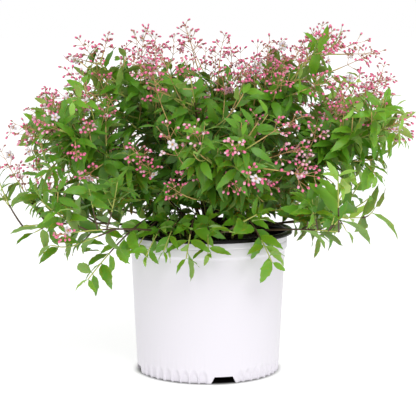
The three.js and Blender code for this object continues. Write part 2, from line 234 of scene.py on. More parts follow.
# How far apart the middles of leaves stand, in the crown and where it is open.
ELBOW_ROOMS = (6.5, 13)

# Where the crown is open: low at its sides, and over the front of the pot. Each pair is for the left and the
# right: the top of that part, the share of leaves that it lacks, and how much larger its leaves are. Leaves
# over the front are as large as at the left.
LOW_SIDE = 170
LOW_TOPS = (275, 335)
LOW_LOSSES = (0.3, 0.6)
LOW_GROWTH = (1.15, 1.35)
LOW_FRONT = -60
FRONT_LOSS = 0.3

# Where leaves give way to blossom at the top, and the share that does at its end. Fewer do to the sides, down
# to half as many at half this distance.
LEAFY_TOP = (380, 500)
BARE_TOP = 0.95
TOP_SIDE = 500

# How high leaves are held over the lowest line, near the middle and at the far sides, to the left and the
# right. A share of the shoots hangs lower, by a share of that lift.
FAR_SIDES = (160, 290)
NEAR_LIFTS = (60, 30)
SIDE_LIFTS = (100, 125)
HANGING = 0.2
HANGING_LIFT = 0.1

# The gaps at both sides of the stems through which the lip and the mix are seen, and the height that leaves
# keep over in them, rising towards the front.
WINDOW = (72, 146)
WINDOW_SILL = 250
SIGHT_SLOPE = 0.146

# The room that leaves and twigs leave round and over the lip, the radius that they keep to inside it, and
# their room over the mix.
LIP_ROOMS = (3, 2)
MOUTH_RADIUS = 118
MIX_ROOM = 9

# Where leaves take lighter tints, painted light, and darker ones in the heart, painted shade: far out from
# the heart, by shares of the reach, then by so much at the far left and the far right, and high up.
GLOW_DEPTHS = (0.3, 0.95)
GLOW_SIDE = 300
SIDE_GLOW = (0.45, 1.7)
TOP_GLOW = 0.8
TOP_BAND = (340, 440)

# Flower clusters, up to a finger long, on stalks as thin as thread. Shares are of a cluster's length. None
# stands lower than two heights, to the left and the right of a side. Clusters near the top are younger, and a
# bud's tint is paler past each mood.
CLUSTER_LENGTH = (44, 74)
CLUSTER_RADII = (0.7, 0.4)
CLUSTER_TIERS = 4
CLUSTER_ROOM = 28
LOWEST_BLOOM = (238, 300)
BLOOM_SIDE = 100
STALK_SHARES = (0.4, 0.15)
STALK_SPREAD = (0.7, 1.25)
STALK_LEAN = (0.5, 1.1)
STALK_SWING = (-20, 20)
STALK_RADIUS = 0.5
FORKED_PART = 0.62
FORK_SHARE = 0.17
FORK_SPREAD = (0.7, 1.3)
FORK_SWING = (0.5, 0.9)
YOUNG_TOP = (440, 540)
BUD_LENGTH = (4.9, 7.9)
BUD_MOODS = (0.3, 0.95, 1.2)
WINE_SHARE = 0.7
FLOWER_SPAN = 9
FLOWER_SIZES = (0.85, 1.1)
FLOWER_CHANCE = 0.02

# Bark chips on the mix.
CHIPS = 500
CHIP_SHAPES = 6
CHIP_SIZES = (3, 13)

# The studio: where each light comes from and how wide it is, in degrees, and in metres the distances from the
# pot's axis over which the floor starts to glow, painted light that washes out the plant's shadows, and over
# which its painted contact shadow, black under the pot, turns to its light tone.
LIGHTS = (("key", (-68, 42), 25), ("fill", (-100, 3), 40))
GLOW_RING = (0.111, 0.129)
SHADOW_RING = (0.105, 0.124)
SHADOW_TONES = (0.02, 0.6)
FLOOR_HALF = 60


def lerp(a, b, share):
    """A value part of the way from one to another."""
    return a + (b - a) * share


def share_of(value, start, end):
    """How far a value is from a start to an end, from 0 to 1."""
    return max(0, min(1, (value - start) / (end - start)))


def circle(sides):
    """The cosine and sine of each of the corners of a regular polygon."""
    return [(math.cos(2 * math.pi * k / sides), math.sin(2 * math.pi * k / sides)) for k in range(sides)]


def skin(rings, sides):
    """The four-sided faces between rings of corners."""
    return [(a + k, a + (k + 1) % sides, a + sides + (k + 1) % sides, a + sides + k)
            for a in range(0, (rings - 1) * sides, sides) for k in range(sides)]


def linear(colour):
    """An sRGB hex colour as linear red, green, blue and full cover."""
    parts = [int(colour[i:i + 2], 16) / 255 for i in (1, 3, 5)]
    return tuple(c / 12.92 if c <= 0.04045 else ((c + 0.055) / 1.055) ** 2.4 for c in parts) + (1.0,)


def dice(seed):
    """A repeatable stream of numbers from 0 to 1, the same one that the solids are grown by."""
    whole = 0xFFFFFFFF
    state = seed & whole

    def roll():
        nonlocal state
        state = (state + 0x6D2B79F5) & whole
        t = ((state ^ (state >> 15)) * (state | 1)) & whole
        t ^= (t + ((t ^ (t >> 7)) * (t | 61))) & whole
        return (t ^ (t >> 14)) / 4294967296

    return roll


def heading(turn, height):
    """The unit direction at a turn round +Z from +X and a height above level, in degrees."""
    a, h = math.radians(turn), math.radians(height)
    return Vector((math.cos(a) * math.cos(h), math.sin(a) * math.cos(h), math.sin(h)))


def axes_of(direction, face=UP):
    """The three axes of a direction: along it, across it, and over it, near to a face's normal."""
    along = direction.normalized()
    across = face.cross(along)
    if across.length < 1e-3:
        across = Vector((0, 1, 0))
    across.normalize()
    return along, across, along.cross(across)


def leaning(axes, turn, forward):
    """A direction that points out from a twig at a turn round it, and leans forward along it."""
    along, across, over = axes
    a = math.radians(turn)
    return across * math.cos(a) + over * math.sin(a) + along * forward


def cell_of(point, size):
    """The cell of a grid that a point is in."""
    return tuple(round(v / size) for v in point)


class Bend:
    """A curve from a foot towards a bend and on to a tip."""

    def __init__(self, foot, bend, tip):
        self.foot, self.bend, self.tip = foot, bend, tip

    def point(self, t):
        """The point at a share of the curve."""
        return self.foot * (1 - t) ** 2 + self.bend * (2 * t * (1 - t)) + self.tip * t ** 2

    def tangent(self, t):
        """The curve's direction there."""
        return ((self.bend - self.foot) * (1 - t) + (self.tip - self.bend) * t).normalized()

    def place(self, t):
        """The point and the three axes at a share of the curve."""
        return self.point(t), axes_of(self.tangent(t))

    def length(self, start=0, end=1):
        """The length between two shares of the curve."""
        steps = 16
        points = [self.point(lerp(start, end, i / steps)) for i in range(steps + 1)]
        return sum((b - a).length for a, b in zip(points, points[1:]))


class Shape:
    """A mesh to gather in a heap: its corners, its faces and the finish of each face."""

    def __init__(self, corners, faces, finishes=0):
        self.corners = np.array([tuple(c) for c in corners], float)
        self.loops = np.concatenate([np.array(face) for face in faces])
        self.sizes = np.array([len(face) for face in faces])
        self.finishes = np.broadcast_to(finishes, len(faces))


class Heap:
    """Shapes gathered to be joined into one piece."""

    def __init__(self, *shapes):
        self.corners, self.loops, self.sizes, self.finishes, self.count = [], [], [], [], 0
        for shape in shapes:
            self.add(shape)

    def add(self, shape, places=(Matrix.Identity(4),), tints=0):
        """Adds a copy of a shape at each place, a 4 by 4 matrix, with its finishes raised by its tint."""
        if not places:
            return
        places = np.array([np.array(place) for place in places])
        tints = np.broadcast_to(tints, len(places))
        corners = np.einsum("nij,kj->nki", places[:, :3, :3], shape.corners) + places[:, None, :3, 3]
        first = self.count + np.arange(len(places)) * len(shape.corners)
        self.corners.append(corners.reshape(-1, 3))
        self.loops.append((shape.loops[None] + first[:, None]).ravel())
        self.sizes.append(np.tile(shape.sizes, len(places)))
        self.finishes.append((shape.finishes[None] + tints[:, None]).ravel())
        self.count += corners.shape[0] * corners.shape[1]

    def joined(self):
        """The corners, loops, face sizes and finishes of everything in the heap."""
        return [np.concatenate(part) for part in (self.corners, self.loops, self.sizes, self.finishes)]

    def piece(self, name, materials, slot, replaced=(), smooth=True):
        """Makes the joined mesh. It rides on the plant's body, has a finish and may stand for solids."""
        mesh = bpy.data.meshes.new(name)
        corners, loops, sizes, finishes = self.joined()
        mesh.vertices.add(len(corners))
        mesh.vertices.foreach_set("co", (corners * MM).ravel())
        mesh.loops.add(len(loops))
        mesh.loops.foreach_set("vertex_index", loops)
        mesh.polygons.add(len(sizes))
        mesh.polygons.foreach_set("loop_start", np.concatenate([[0], np.cumsum(sizes)[:-1]]))
        mesh.polygons.foreach_set("material_index", finishes)
        mesh.polygons.foreach_set("use_smooth", np.full(len(sizes), smooth))
        mesh.update(calc_edges=True)
        for material in materials:
            mesh.materials.append(material)
        thing = put(name, mesh)
        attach(thing, BODY)
        if replaced:
            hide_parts(*replaced)
        return thing


def put(name, data):
    """Adds an object to the scene."""
    thing = bpy.data.objects.new(name, data)
    bpy.context.scene.collection.objects.link(thing)
    return thing


def tube(path, start, end, radii, sides, steps, finish=lambda share: 0, relief=lambda share, k: 1):
    """A closed tapering limb along part of a path."""
    corners, faces = [], skin(steps + 1, sides)
    for i in range(steps + 1):
        middle, (_, across, over) = path.place(lerp(start, end, i / steps))
        for k, (c, s) in enumerate(circle(sides)):
            radius = lerp(*radii, i / steps) * relief(i / steps, k)
            corners.append(middle + (across * c + over * s) * radius)
    finishes = [finish((i + 0.5) / steps) for i in range(steps) for _ in range(sides)]
    faces += [tuple(reversed(range(sides))), tuple(range(steps * sides, (steps + 1) * sides))]
    return Shape(corners, faces, finishes + [finish(0), finish(1)])


def place_of(root, direction, face, length, width=None, height=None):
    """The matrix that turns a shape along +X to a direction and a face's normal at a root, and scales it."""
    along, across, over = axes_of(direction, face)
    columns = [along * length, across * (width or length), over * (height or length)]
    turned = Matrix([[column[i] for column in columns] for i in range(3)]).to_4x4()
    return Matrix.Translation(root) @ turned


def add_node(tree, kind, links=(), **settings):
    """Adds a node. Settings are its inputs' values or its own, by name. Links feed inputs from outputs."""
    node = tree.nodes.new(kind)
    for name, value in settings.items():
        sockets = [s for s in node.inputs if s.name.lower() == name.replace("_", " ") and s.enabled]
        if sockets:
            sockets[0].default_value = value
        else:
            setattr(node, name, value)
    for name, output in dict(links).items():
        tree.links.new(output, node.inputs[name])
    return node


def material_of(name, **settings):
    """A new material with a Principled shader, and the tree and shader to add a pattern to."""
    material = bpy.data.materials.new(name)
    material.use_nodes = True
    tree = material.node_tree
    tree.nodes.clear()
    shader = add_node(tree, "ShaderNodeBsdfPrincipled", **settings)
    add_node(tree, "ShaderNodeOutputMaterial", {"Surface": shader.outputs[0]})
    material.diffuse_color = tuple(shader.inputs["Base Color"].default_value)
    return material, tree, shader


def grain_of(tree, size, detail=2, stretch=(1, 1, 1)):
    """A noise whose grains are so many millimetres across."""
    place = add_node(tree, "ShaderNodeTexCoord")
    scaled = add_node(tree, "ShaderNodeMapping", {"Vector": place.outputs["Object"]}, scale=stretch)
    return add_node(tree, "ShaderNodeTexNoise", {"Vector": scaled.outputs[0]}, scale=1 / (size * MM),
                    detail=detail)


def tint_by(tree, shader, grain, colours, stops=(0.35, 0.65)):
    """Colours a surface by a grain, between sRGB hex colours."""
    ramp = add_node(tree, "ShaderNodeValToRGB", {"Fac": grain.outputs[0]})
    elements = ramp.color_ramp.elements
    while len(elements) < len(colours):
        elements.new(0.5)
    for i, (element, colour) in enumerate(zip(elements, colours)):
        element.position = lerp(*stops, i / (len(colours) - 1))
        element.color = linear(colour)
    tree.links.new(ramp.outputs[0], shader.inputs["Base Color"])


def bump_by(tree, shader, grain, depth, strength=1.0):
    """Raises a surface by a grain, to a depth in millimetres."""
    bump = add_node(tree, "ShaderNodeBump", {"Height": grain.outputs[0]}, strength=strength,
                    distance=depth * MM)
    tree.links.new(bump.outputs[0], shader.inputs["Normal"])


def white_polypropylene():
    """Moulded white polypropylene: bright, a little cool, with a soft gloss and a barely uneven skin."""
    settings = bpy.context.scene.deutzia_pot
    material, tree, shader = material_of("white_polypropylene", roughness=0.38, ior=1.49,
                                         base_color=(*settings.white, 1.0))
    bump_by(tree, shader, grain_of(tree, 14, 1), 0.12, 0.35)
    return material


def black_polypropylene():
    """The pot's black inner layer and rolled lip: glossy, so that its edges catch the light."""
    settings = bpy.context.scene.deutzia_pot
    material, tree, shader = material_of("black_polypropylene", roughness=0.2, ior=1.49,
                                         specular_ior_level=0.15, base_color=(*settings.black, 1.0))
    bump_by(tree, shader, grain_of(tree, 5, 1), 0.08, 0.3)
    return material


def potting_mix_material():
    """Damp composted bark and peat: nearly black, matt, with brown fibres and grains two millimetres wide."""
    material, tree, shader = material_of("potting_mix", roughness=0.95, ior=1.4)
    tint_by(tree, shader, grain_of(tree, 4, 4), ("#17100B", "#2E2218", "#4A3826"), (0.3, 0.72))
    bump_by(tree, shader, grain_of(tree, 2.2, 4), 1.2)
    return material


def bark_chip(name, colour, pale):
    """A chip of pine bark, rough and fibrous along its grain."""
    material, tree, shader = material_of(name, roughness=0.85, ior=1.45)
    tint_by(tree, shader, grain_of(tree, 2, 3, (1, 3, 1)), (colour, pale))
    bump_by(tree, shader, grain_of(tree, 1, 3), 0.4)
    return material


def old_bark():
    """Thin grey-brown bark that peels lengthwise in fine strips, about two millimetres wide."""
    material, tree, shader = material_of("old_bark", roughness=0.8, ior=1.45)
    tint_by(tree, shader, grain_of(tree, 2, 4, (1, 1, 0.35)), ("#2A1D18", "#4A372C", "#75604C"), (0.32, 0.7))
    bump_by(tree, shader, grain_of(tree, 1.2, 3, (1, 1, 0.3)), 0.5)
    return material


def plain(name, colour, roughness, subsurface=0.0):
    """A living finish in one plain colour: leaf, twig or petal, with some light scattered in it."""
    material, _, _ = material_of(name, base_color=linear(colour), roughness=roughness, ior=1.42,
                                 specular_ior_level=0.6, subsurface_weight=subsurface, subsurface_scale=0.002)
    return material


# Leaf tints, each with its underside, from dark old leaves to young ones at the tips. Where a leaf stands
# also picks its tint: dark ones as painted shade in the heart, light ones as painted light far out.
LEAF_TINTS = (
    ("deep_leaf", "#477A17", "#6F9444"),
    ("mature_leaf", "#59931B", "#80A74D"),
    ("summer_leaf", "#6CA621", "#90B853"),
    ("fresh_leaf", "#8EBE48", "#ABCB6A"),
    ("young_leaf", "#AAD35A", "#C0DD7E"),
)

# Twig tints: brown older wood, olive and amber young shoots, and the tan thread of flower stalks.
TWIG_TINTS = (
    ("brown_twig", "#5A4632"),
    ("olive_twig", "#BCC264"),
    ("amber_twig", "#CDB06C"),
    ("tan_stalk", "#D0A070"),
)

# How a twig's tint runs along it: the tint at its foot, up to which share of it, and the tint from there.
AXIS = (0, 0.7, 1)
LOW_SHOOT = (0, 0.5, 1)
YOUNG_SHOOT = (1, 0.6, 2)
STALK = (3, 1, 3)

# Blossom tints: calyces in dull wine and green, buds that turn from dusky to pale pink as they swell, petals
# that are nearly white with a pink back, and yellow stamens.
BLOSSOM_TINTS = (
    ("wine_calyx", "#9C5C58"),
    ("green_calyx", "#9C8A55"),
    ("dusky_bud", "#D0888F"),
    ("rose_bud", "#F67DA7"),
    ("pink_bud", "#FAB1C8"),
    ("pale_bud", "#FCDAE3"),
    ("petal_face", "#FBEDF1"),
    ("petal_back", "#F3B7CB"),
    ("stamen", "#E3B24A"),
)


@lru_cache(maxsize=None)
def leaf_materials():
    """The leaf tints, each followed by its underside."""
    return [plain(name + part, colour, roughness, 0.12) for name, top, under in LEAF_TINTS
            for part, colour, roughness in (("_face", top, 0.42), ("_underside", under, 0.65))]


@lru_cache(maxsize=None)
def twig_materials():
    """The twig tints, from old wood to flower stalks."""
    return [plain(name, colour, 0.6) for name, colour in TWIG_TINTS]


@lru_cache(maxsize=None)
def blossom_materials():
    """The tints of calyx, bud, petal and stamen."""
    return [plain(name, colour, 0.5, 0.15) for name, colour in BLOSSOM_TINTS]


def reach(direction):
    """How far the shrub reaches from its heart in a unit direction."""
    turn = math.degrees(math.atan2(max(direction.z, 0), direction.x)) / OUTLINE_STEP
    i = min(int(turn), len(OUTLINE) - 2)
    sideways = lerp(OUTLINE[i], OUTLINE[i + 1], turn - i)
    return 1 / math.hypot(math.hypot(direction.x, direction.z) / sideways, direction.y / DEPTH)


def lowest_hang(point):
    """The lowest height that the foliage may hang to at a point."""
    radius = max(math.hypot(point.x, point.y), 1)
    return lerp(HANG_SIDE, HANG_LIP + HANG_SLOPE * (radius - LIP_RADIUS), (point.y / radius) ** 2)


def lowest_leaf(point, lift):
    """The lowest height of a leaf. The lip and the mix stay in view, and few leaves hang at the far sides."""
    side = abs(point.x)
    far = share_of(side, *FAR_SIDES)
    lowest = lowest_hang(point) + lerp(NEAR_LIFTS[point.x > 0], SIDE_LIFTS[point.x > 0], far) * lift
    if WINDOW[0] < side < WINDOW[1]:
        lowest = max(lowest, WINDOW_SILL + SIGHT_SLOPE * max(0, -point.y))
    return lowest


def openness(point):
    """The share of leaves that a point lacks, where the crown is open."""
    if abs(point.x) > LOW_SIDE:
        return LOW_LOSSES[point.x > 0] if point.z < LOW_TOPS[point.x > 0] else 0
    return FRONT_LOSS if point.y < LOW_FRONT and point.z < LOW_TOPS[0] else 0


def in_box(point):
    """Whether a point is in the solids' box, or barely proud of it."""
    low, high = CAD_BOX
    return all(low[i] / MM - PROUD[i] < point[i] < high[i] / MM + PROUD[i] for i in range(3))


class Stem:
    """A stem of the shrub: its path, the bare share of it, its radii, the seed of what grows on it, and for
    a ring's stem the direction that it aims in."""

    def __init__(self, kind, number, path, bare, radii, seed, aim=None):
        self.name = f"{kind}_{number}" if number else kind
        self.path, self.bare, self.radii, self.seed, self.aim = path, bare, radii, seed, aim
        self.bloom, self.droop, self.node, self.sizes = GROWTH[kind]


@lru_cache(maxsize=None)
def ring_stems():
    """Every stem of the rings."""
    stems = []
    for r, (ring, count, first, rise, height, lift, bare) in enumerate(RINGS):
        roll = dice(RING_SEED + r)
        for i in range(count):
            turn = first + i * 360 / count + lerp(-TURN_JITTER, TURN_JITTER, roll())
            tall = height + lift * math.sin(math.radians(turn)) ** 2
            tall += lerp(-HEIGHT_JITTER, HEIGHT_JITTER, roll())
            aim = heading(turn, tall)
            foot = HEART + heading(turn, rise) * (KNOB_RADIUS + GAP)
            tip = HEART + aim * (reach(aim) * AXIS_SHARE)
            bend = foot + heading(turn, rise) * ((tip - foot).length / 2)
            number, seed = i + 1 if count > 1 else 0, TWIG_SEED + 100 * r + i
            stems.append(Stem(ring, number, Bend(foot, bend, tip), bare, STEM_RADII, seed, aim))
    return stems


@lru_cache(maxsize=None)
def lip_stems(kind):
    """The stems of a kind that hang over the lip."""
    tips, bend, bare, radii, seed = OVER_LIP[kind]
    stems = []
    for i, (turn, *tip) in enumerate(tips):
        knots = [heading(turn, 0) * out + UP * z for out, z in ((RIM_FOOT, MIX_LEVEL + GAP), bend, tip)]
        stems.append(Stem(kind, i + 1, Bend(*knots), bare, radii, seed + i))
    return stems


@lru_cache(maxsize=None)
def limb_tree():
    """Points along every bare stem, to keep leaves and twigs off them."""
    stems = ring_stems() + lip_stems("rim") + lip_stems("spray")
    steps = 30
    points = [stem.path.point(stem.bare * i / steps) for stem in stems for i in range(steps + 1)]
    tree = kdtree.KDTree(len(points))
    for i, point in enumerate(points):
        tree.insert(point, i)
    tree.balance()
    return tree


class Mass:
    """The twigs, leaves and flowers that grow on from one stem, in a space of their own. All masses share
    the lists of where leaves and clusters already are."""

    crowded = {}
    filled = {}
    heads = []

    def __init__(self, stem, rivals):
        self.stem = stem
        self.walls = [(stem.aim - rival.aim).normalized() for rival in rivals]
        self.roll = dice(stem.seed)
        self.lift = 1
        self.twigs, self.leaves, self.stalks, self.buds, self.flowers = [], [], [], [], []

    def between(self, least, most):
        """A number between two limits."""
        return lerp(least, most, self.roll())

    def holds(self, *points, slack=0):
        """Whether points are in the mass's own space, and clear of the pot and the bare stems."""
        return all(self.holds_point(point, slack) for point in points)

    def holds_point(self, point, slack):
        """Whether the space holds one point. Slack moves its walls out."""
        radius = math.hypot(point.x, point.y)
        at_pot = radius < LIP_RADIUS + LIP_ROOMS[0] and point.z < POT_HEIGHT + LIP_ROOMS[1]
        if at_pot and (radius > MOUTH_RADIUS or point.z < MIX_LEVEL + MIX_ROOM):
            return False
        if limb_tree().find(point)[2] < STEM_ROOM:
            return False
        if not self.stem.aim:
            return True
        out = point - HEART
        if out.length > reach(out.normalized()) + slack or point.z < lowest_leaf(point, self.lift):
            return False
        return in_box(point) and all(out.dot(wall) >= GAP - slack for wall in self.walls)

    def has_room(self, point):
        """Whether no leaf's middle is near a point. If none is, a leaf takes the point."""
        apart = ELBOW_ROOMS[bool(self.stem.aim and openness(point))]
        cell = cell_of(point, ELBOW_ROOMS[1])
        near = [self.crowded.get((cell[0] + i, cell[1] + j, cell[2] + k), ())
                for i in (-1, 0, 1) for j in (-1, 0, 1) for k in (-1, 0, 1)]
        if any((point - other).length < apart for others in near for other in others):
            return False
        self.crowded.setdefault(cell, []).append(point)
        self.filled[cell_of(point, CROWD_CELL)] = self.crowd(point) + 1
        return True

    def crowd(self, point):
        """How many leaves are about a point."""
        return self.filled.get(cell_of(point, CROWD_CELL), 0)

    def shoot(self, root, axes, turn, length, headroom, outward=OUTWARD):
        """The path of a side shoot that turns up or droops, out to where few leaves are, or None if it has
        no room. Later tries swing further aside, are shorter and turn less."""
        rise, lean = SHOOT_RISE * self.between(0, 1), self.between(*SHOOT_LEAN)
        goal, turning = UP, SHOOT_TURN
        if self.roll() < self.stem.droop:
            rise, goal, turning = -SHOOT_SINK * rise, -UP, SHOOT_DROOP
        best, fewest = None, math.inf
        for i in range(SHOOT_TRIES):
            tried = i / SHOOT_TRIES
            start = leaning(axes, turn + SHOOT_SWING * tried * self.between(-1, 1), lean).normalized()
            start = (start + UP * rise * (1 - tried)).normalized()
            end = start.lerp(goal, turning * (1 - tried)).normalized()
            half = length / 2 * lerp(1, SHOOT_SHRINK, tried)
            bend = root + start * half
            path = Bend(root, bend, bend + end * half)
            crowd = self.crowd(path.point(0.6)) + self.crowd(path.tip) - outward * (path.tip - HEART).length
            ahead = path.tip + end * (headroom + TIP_AHEAD)
            if crowd < fewest and self.holds(path.point(0.5), path.tip, ahead):
                best, fewest = path, crowd
        return best

    def tint_of(self, root, mood):
        """Which tint a leaf has: darker near the heart, painted shade; lighter far out at the sides and high
        up, painted light; and by its shoot's mood.
        """
        if not self.stem.aim:
            return int(1 + 2.1 * mood)
        # Painted shade near the heart, and painted light far out to the sides and at the top.
        out = root - HEART
        outer = share_of(out.length / reach(out.normalized()), *GLOW_DEPTHS)
        side = SIDE_GLOW[root.x > 0] * share_of(abs(root.x), 0, GLOW_SIDE)
        lit = outer * max(side, TOP_GLOW * share_of(root.z, *TOP_BAND))
        return min(4, int(0.9 * outer ** 1.5 + 0.8 * lit + mood * (0.75 + lit)))

    def leaf(self, root, axes, turn, length, mood):
        """Grows a leaf that spreads from a twig, faces out and hangs a little. Says whether it found room."""
        bare = BARE_TOP * (root.z - LEAFY_TOP[0]) / (LEAFY_TOP[1] - LEAFY_TOP[0])
        if self.roll() < bare * max(0.5, 1 - abs(root.x) / TOP_SIDE):
            return False
        if self.stem.aim and openness(root):
            if self.roll() < openness(root):
                return False
            length *= LOW_GROWTH[root.x > LOW_SIDE]
        for i in range(LEAF_TRIES):
            tried = i / LEAF_TRIES
            aside = heading(self.between(0, 360), 0) * FACE_OUT
            out = Vector((root.x, root.y, 0)).normalized() * FACE_OUT
            face = out + aside + UP * self.between(*FACE_UP)
            side = leaning(axes, turn + LEAF_SWING * tried * self.between(-1, 1), self.between(*LEAF_LEAN))
            direction = (side.normalized() - UP * self.between(*LEAF_FALL)).normalized()
            size = length * lerp(1, LEAF_SHRINK, tried)
            drop = UP * (LEAF_SAG * size)
            points = [root + direction * (size * s) - drop * s for s in (0.3, 0.6, 1)]
            if self.holds(*points, slack=LEAF_SLACK) and self.has_room(points[1]):
                place = place_of(root, direction, face, size, size * self.between(*LEAF_WIDTHS))
                kind = int(self.between(0 if self.stem.aim else LEAF_SHAPES * 0.6, LEAF_SHAPES))
                self.leaves.append((place, kind, self.tint_of(root, mood)))
                return True
        return False

    def stalk(self, root, tip, radius=STALK_RADIUS):
        """A thin straight flower stalk."""
        out = tip - root
        self.stalks.append(place_of(root, out, UP, out.length, radius, radius))

    def bud(self, root, direction, size, tint):
        """A bud, or now and then an open flower."""
        if self.roll() < FLOWER_CHANCE * (size - BUD_LENGTH[0]) and self.stem.bloom:
            size = FLOWER_SPAN * self.between(*FLOWER_SIZES)
            self.flowers.append(place_of(root, direction, UP, size))
            return
        calyx = 0 if self.roll() < WINE_SHARE else 1
        self.buds.append((place_of(root, direction, UP, size), calyx, tint))

    def cluster(self, root, direction, length):
        """An airy flower cluster: pairs of stalks up a thin axis, the lower ones forked into three."""
        lean = direction + Vector((self.between(-1, 1), self.between(-1, 1), 0)) * 0.25
        path = Bend(root, root + direction * length * 0.5, root + lean.normalized() * length)
        self.twigs.append((path, 0, 1, CLUSTER_RADII, 3, 4, STALK))
        first = self.between(0, 90)
        ripe = self.between(0, 1) * lerp(1, 0.5, share_of(root.z, *YOUNG_TOP))
        for k in range(CLUSTER_TIERS):
            share = (k + 0.7) / CLUSTER_TIERS
            node, axes = path.place(share)
            for side in (0, 180):
                turn = first + 90 * k + side + self.between(*STALK_SWING)
                out = leaning(axes, turn, self.between(*STALK_LEAN)).normalized()
                tip = node + out * (lerp(*STALK_SHARES, share) * length * self.between(*STALK_SPREAD))
                if not in_box(tip):
                    continue
                self.stalk(node, tip)
                self.pink(tip, out, share, ripe)
                if share > FORKED_PART:
                    continue
                fork = node.lerp(tip, 0.5)
                for swing in (-1, 1):
                    aside = axes_of(out)[1] * swing * self.between(*FORK_SWING)
                    aside = (out + aside + UP * 0.2).normalized()
                    end = fork + aside * (length * FORK_SHARE * self.between(*FORK_SPREAD))
                    self.stalk(fork, end, STALK_RADIUS * 0.8)
                    self.pink(end, aside, share, ripe)
        self.pink(path.tip, path.tangent(1), 1, ripe)

    def pink(self, tip, out, share, ripe):
        """A bud at a stalk's tip. The higher it stands in its cluster, the smaller and darker it is."""
        size = lerp(*BUD_LENGTH, share_of(ripe * 0.6 + 0.5 * (1 - share) + self.between(-0.2, 0.2), 0, 1))
        direction = out - UP * self.between(0, 0.9)
        mood = ripe + 0.4 * (1 - share) + self.between(-0.35, 0.35)
        self.bud(tip, direction, size, sum(mood >= least for least in BUD_MOODS))

    def grow_shoot(self, path, order, flowers):
        """Leaves in crossed pairs up a shoot, spurs in their axils, and a cluster or a tuft at its tip.
        The shoot ends at the last thing that grows on it."""
        length = path.length()
        nodes = max(2, round(length / self.stem.node))
        kind = LOW_SHOOT if order == 1 and self.stem.name.startswith("skirt") else YOUNG_SHOOT
        first, mood = self.between(0, 180), self.roll()
        last = 0
        leafy = LEAFY_SHARE if flowers else 1
        for k in range(nodes):
            t = leafy * (k + 0.75) / (nodes + 0.35)
            root, axes = path.place(t)
            size = lerp(*reversed(self.stem.sizes), t) * self.between(*LEAF_SIZES)
            size *= 1 if order == 1 else SPUR_LEAF
            for side in (0, 180):
                if self.leaf(root, axes, first + 90 * k + side, size, mood):
                    last = t
            if order == 1 and 0 < k < nodes - 1 and self.roll() < SPUR_CHANCE:
                turn = first + 90 * k + (0 if self.roll() < 0.5 else 180)
                cluster = CLUSTER_LENGTH[0] if flowers and self.roll() < SPUR_BLOOM else 0
                long = SPUR_LENGTH * self.between(*SPUR_SIZES)
                spur = self.shoot(root, axes, turn, long, cluster or SPUR_AHEAD)
                if spur:
                    self.grow_shoot(spur, 2, cluster)
                    last = t
        if self.end(path, flowers, first + 90 * nodes, mood):
            last = 1
        if last:
            self.twigs.append((path, 0, last, SHOOT_RADII[order - 1], 4, nodes + 2, kind))

    def end(self, path, flowers, turn, mood):
        """Grows a cluster at a twig's tip, or a pair of young leaves. Says whether anything grew."""
        tip, direction = path.tip, path.tangent(1)
        middle = tip + direction * (flowers / 2)
        apart = all((middle - other).length > CLUSTER_ROOM for other in self.heads)
        high = tip.z > LOWEST_BLOOM[tip.x > BLOOM_SIDE]
        if flowers and apart and high and in_box(tip + direction * flowers):
            self.heads.append(middle)
            self.cluster(tip, direction, flowers)
            return True
        size = self.stem.sizes[0] * TIP_LEAF
        grew = [self.leaf(tip, axes_of(direction), turn + side, size, mood + 0.3) for side in (0, 180)]
        return any(grew)

    def grow(self):
        """Grows the whole mass: an axis with crossed pairs of leaves, and a shoot in the axil of each."""
        stem = self.stem
        start = stem.bare + GAP / stem.path.length()
        length = stem.path.length(start, 1)
        nodes = round(length / (AXIS_NODE if stem.aim else stem.node))
        first = self.between(0, 90)
        last = start
        for k in range(nodes):
            t = lerp(start, 1, (k + 0.5) / nodes)
            root, axes = stem.path.place(t)
            for side in (0, 180):
                turn = first + 90 * k + side
                if self.leaf(root, axes, turn, self.between(*stem.sizes), self.roll()):
                    last = t
                if stem.aim:
                    self.lift = 1 if self.roll() > HANGING else HANGING_LIFT
                    cluster = self.between(*CLUSTER_LENGTH) if self.roll() < stem.bloom else 0
                    size = SHOOT_LENGTH * self.between(*SHOOT_SIZES)
                    path = self.shoot(root, axes, turn, size, cluster or SHOOT_AHEAD)
                    if not path and abs(root.x) > SHORT_SIDE:
                        cluster = cluster and SHORT_CLUSTER
                        size = SHORT_SHOOT * self.between(*SHORT_SIZES)
                        path = self.shoot(root, axes, turn, size, cluster or SHORT_AHEAD)
                    if path:
                        self.grow_shoot(path, 1, cluster)
                        last = t
        if self.end(stem.path, CLUSTER_LENGTH[0] if stem.bloom else 0, first + 90 * nodes, 0.5):
            last = 1
        self.twigs.append((stem.path, start, last, (stem.radii[1], AXIS_TIP), 6, 2 * nodes, AXIS))
        if stem.aim:
            self.grow_inside()
        return self

    def grow_inside(self):
        """Short leafy shoots on the stem's lower part, which shade the heart of the shrub."""
        stem = self.stem
        length = stem.path.length(0, stem.bare)
        nodes = int(length / INNER_NODE)
        for k in range(1, nodes + 1):
            t = stem.bare * k / (nodes + 0.5)
            root, axes = stem.path.place(t)
            for side in (0, 180):
                long = self.between(*INNER_LENGTH)
                path = self.shoot(root, axes, 90 * k + side, long, INNER_AHEAD, 0)
                if path:
                    self.grow_shoot(path, 2, 0)


@lru_cache(maxsize=None)
def masses():
    """Every mass of the shrub, by the name of its stem."""
    stems = ring_stems()
    rings = [Mass(stem, [other for other in stems if other is not stem]) for stem in stems]
    loose = [Mass(stem, []) for stem in lip_stems("rim") + lip_stems("spray")]
    return {mass.stem.name: mass.grow() for mass in loose + rings}


def leaf_outline(share):
    """Half a blade's width at a share of its length, as a share of the most: oval, with a fine tip."""
    return 1.93 * share ** 0.62 * (1 - share) ** 1.12


